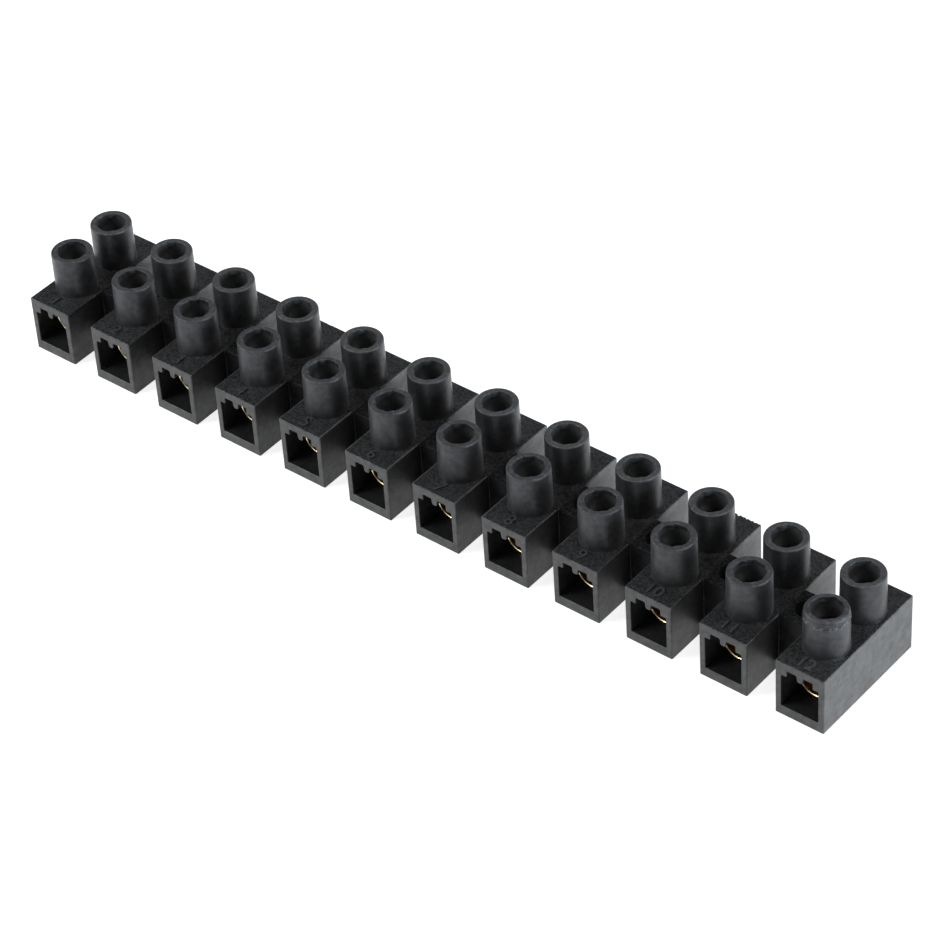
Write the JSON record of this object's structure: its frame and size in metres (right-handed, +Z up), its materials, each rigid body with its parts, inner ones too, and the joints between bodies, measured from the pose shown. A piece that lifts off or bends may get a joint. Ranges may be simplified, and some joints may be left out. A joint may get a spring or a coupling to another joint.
{
  "type": "terminal strip",
  "caption": "Row of moulded black screw-terminal poles joined by webs with fixing holes; each pole clamps wires in a brass insert with screws sunk in towers.",
  "frame": {"origin": "middle of the base, halfway along the row", "axes": "+X along the row towards pole 12, -Y out of the front mouths, +Z up through the screw towers"},
  "size_m": [0.1164, 0.0168, 0.013],
  "materials": {
    "black_plastic": "semi-matt moulded polyamide or polypropylene",
    "brass": "bare machined brass",
    "plated_steel": "zinc-plated steel"
  },
  "bodies": {
    "strip": {"housing": "black_plastic", "brass_insert_01": "brass", "brass_insert_02": "brass", "brass_insert_03": "brass", "brass_insert_04": "brass", "brass_insert_05": "brass", "brass_insert_06": "brass", "brass_insert_07": "brass", "brass_insert_08": "brass", "brass_insert_09": "brass", "brass_insert_10": "brass", "brass_insert_11": "brass", "brass_insert_12": "brass"},
    "clamp_screw_front_01": {"clamp_screw_front_01": "plated_steel"},
    "clamp_screw_front_02": {"clamp_screw_front_02": "plated_steel"},
    "clamp_screw_front_03": {"clamp_screw_front_03": "plated_steel"},
    "clamp_screw_front_04": {"clamp_screw_front_04": "plated_steel"},
    "clamp_screw_front_05": {"clamp_screw_front_05": "plated_steel"},
    "clamp_screw_front_06": {"clamp_screw_front_06": "plated_steel"},
    "clamp_screw_front_07": {"clamp_screw_front_07": "plated_steel"},
    "clamp_screw_front_08": {"clamp_screw_front_08": "plated_steel"},
    "clamp_screw_front_09": {"clamp_screw_front_09": "plated_steel"},
    "clamp_screw_front_10": {"clamp_screw_front_10": "plated_steel"},
    "clamp_screw_front_11": {"clamp_screw_front_11": "plated_steel"},
    "clamp_screw_front_12": {"clamp_screw_front_12": "plated_steel"},
    "clamp_screw_rear_01": {"clamp_screw_rear_01": "plated_steel"},
    "clamp_screw_rear_02": {"clamp_screw_rear_02": "plated_steel"},
    "clamp_screw_rear_03": {"clamp_screw_rear_03": "plated_steel"},
    "clamp_screw_rear_04": {"clamp_screw_rear_04": "plated_steel"},
    "clamp_screw_rear_05": {"clamp_screw_rear_05": "plated_steel"},
    "clamp_screw_rear_06": {"clamp_screw_rear_06": "plated_steel"},
    "clamp_screw_rear_07": {"clamp_screw_rear_07": "plated_steel"},
    "clamp_screw_rear_08": {"clamp_screw_rear_08": "plated_steel"},
    "clamp_screw_rear_09": {"clamp_screw_rear_09": "plated_steel"},
    "clamp_screw_rear_10": {"clamp_screw_rear_10": "plated_steel"},
    "clamp_screw_rear_11": {"clamp_screw_rear_11": "plated_steel"},
    "clamp_screw_rear_12": {"clamp_screw_rear_12": "plated_steel"}
  },
  "joints": [
    {"name": "clamp_screw_front_01_travel", "type": "slide", "parent": "strip", "child": "clamp_screw_front_01", "axis": [0, 0, -1], "range_m": [0, 0.00225]},
    {"name": "clamp_screw_front_02_travel", "type": "slide", "parent": "strip", "child": "clamp_screw_front_02", "axis": [0, 0, -1], "range_m": [0, 0.00225]},
    {"name": "clamp_screw_front_03_travel", "type": "slide", "parent": "strip", "child": "clamp_screw_front_03", "axis": [0, 0, -1], "range_m": [0, 0.00225]},
    {"name": "clamp_screw_front_04_travel", "type": "slide", "parent": "strip", "child": "clamp_screw_front_04", "axis": [0, 0, -1], "range_m": [0, 0.00225]},
    {"name": "clamp_screw_front_05_travel", "type": "slide", "parent": "strip", "child": "clamp_screw_front_05", "axis": [0, 0, -1], "range_m": [0, 0.00225]},
    {"name": "clamp_screw_front_06_travel", "type": "slide", "parent": "strip", "child": "clamp_screw_front_06", "axis": [0, 0, -1], "range_m": [0, 0.00225]},
    {"name": "clamp_screw_front_07_travel", "type": "slide", "parent": "strip", "child": "clamp_screw_front_07", "axis": [0, 0, -1], "range_m": [0, 0.00225]},
    {"name": "clamp_screw_front_08_travel", "type": "slide", "parent": "strip", "child": "clamp_screw_front_08", "axis": [0, 0, -1], "range_m": [0, 0.00225]},
    {"name": "clamp_screw_front_09_travel", "type": "slide", "parent": "strip", "child": "clamp_screw_front_09", "axis": [0, 0, -1], "range_m": [0, 0.00225]},
    {"name": "clamp_screw_front_10_travel", "type": "slide", "parent": "strip", "child": "clamp_screw_front_10", "axis": [0, 0, -1], "range_m": [0, 0.00225]},
    {"name": "clamp_screw_front_11_travel", "type": "slide", "parent": "strip", "child": "clamp_screw_front_11", "axis": [0, 0, -1], "range_m": [0, 0.00225]},
    {"name": "clamp_screw_front_12_travel", "type": "slide", "parent": "strip", "child": "clamp_screw_front_12", "axis": [0, 0, -1], "range_m": [0, 0.00225]},
    {"name": "clamp_screw_rear_01_travel", "type": "slide", "parent": "strip", "child": "clamp_screw_rear_01", "axis": [0, 0, -1], "range_m": [0, 0.00225]},
    {"name": "clamp_screw_rear_02_travel", "type": "slide", "parent": "strip", "child": "clamp_screw_rear_02", "axis": [0, 0, -1], "range_m": [0, 0.00225]},
    {"name": "clamp_screw_rear_03_travel", "type": "slide", "parent": "strip", "child": "clamp_screw_rear_03", "axis": [0, 0, -1], "range_m": [0, 0.00225]},
    {"name": "clamp_screw_rear_04_travel", "type": "slide", "parent": "strip", "child": "clamp_screw_rear_04", "axis": [0, 0, -1], "range_m": [0, 0.00225]},
    {"name": "clamp_screw_rear_05_travel", "type": "slide", "parent": "strip", "child": "clamp_screw_rear_05", "axis": [0, 0, -1], "range_m": [0, 0.00225]},
    {"name": "clamp_screw_rear_06_travel", "type": "slide", "parent": "strip", "child": "clamp_screw_rear_06", "axis": [0, 0, -1], "range_m": [0, 0.00225]},
    {"name": "clamp_screw_rear_07_travel", "type": "slide", "parent": "strip", "child": "clamp_screw_rear_07", "axis": [0, 0, -1], "range_m": [0, 0.00225]},
    {"name": "clamp_screw_rear_08_travel", "type": "slide", "parent": "strip", "child": "clamp_screw_rear_08", "axis": [0, 0, -1], "range_m": [0, 0.00225]},
    {"name": "clamp_screw_rear_09_travel", "type": "slide", "parent": "strip", "child": "clamp_screw_rear_09", "axis": [0, 0, -1], "range_m": [0, 0.00225]},
    {"name": "clamp_screw_rear_10_travel", "type": "slide", "parent": "strip", "child": "clamp_screw_rear_10", "axis": [0, 0, -1], "range_m": [0, 0.00225]},
    {"name": "clamp_screw_rear_11_travel", "type": "slide", "parent": "strip", "child": "clamp_screw_rear_11", "axis": [0, 0, -1], "range_m": [0, 0.00225]},
    {"name": "clamp_screw_rear_12_travel", "type": "slide", "parent": "strip", "child": "clamp_screw_rear_12", "axis": [0, 0, -1], "range_m": [0, 0.00225]}
  ]
}
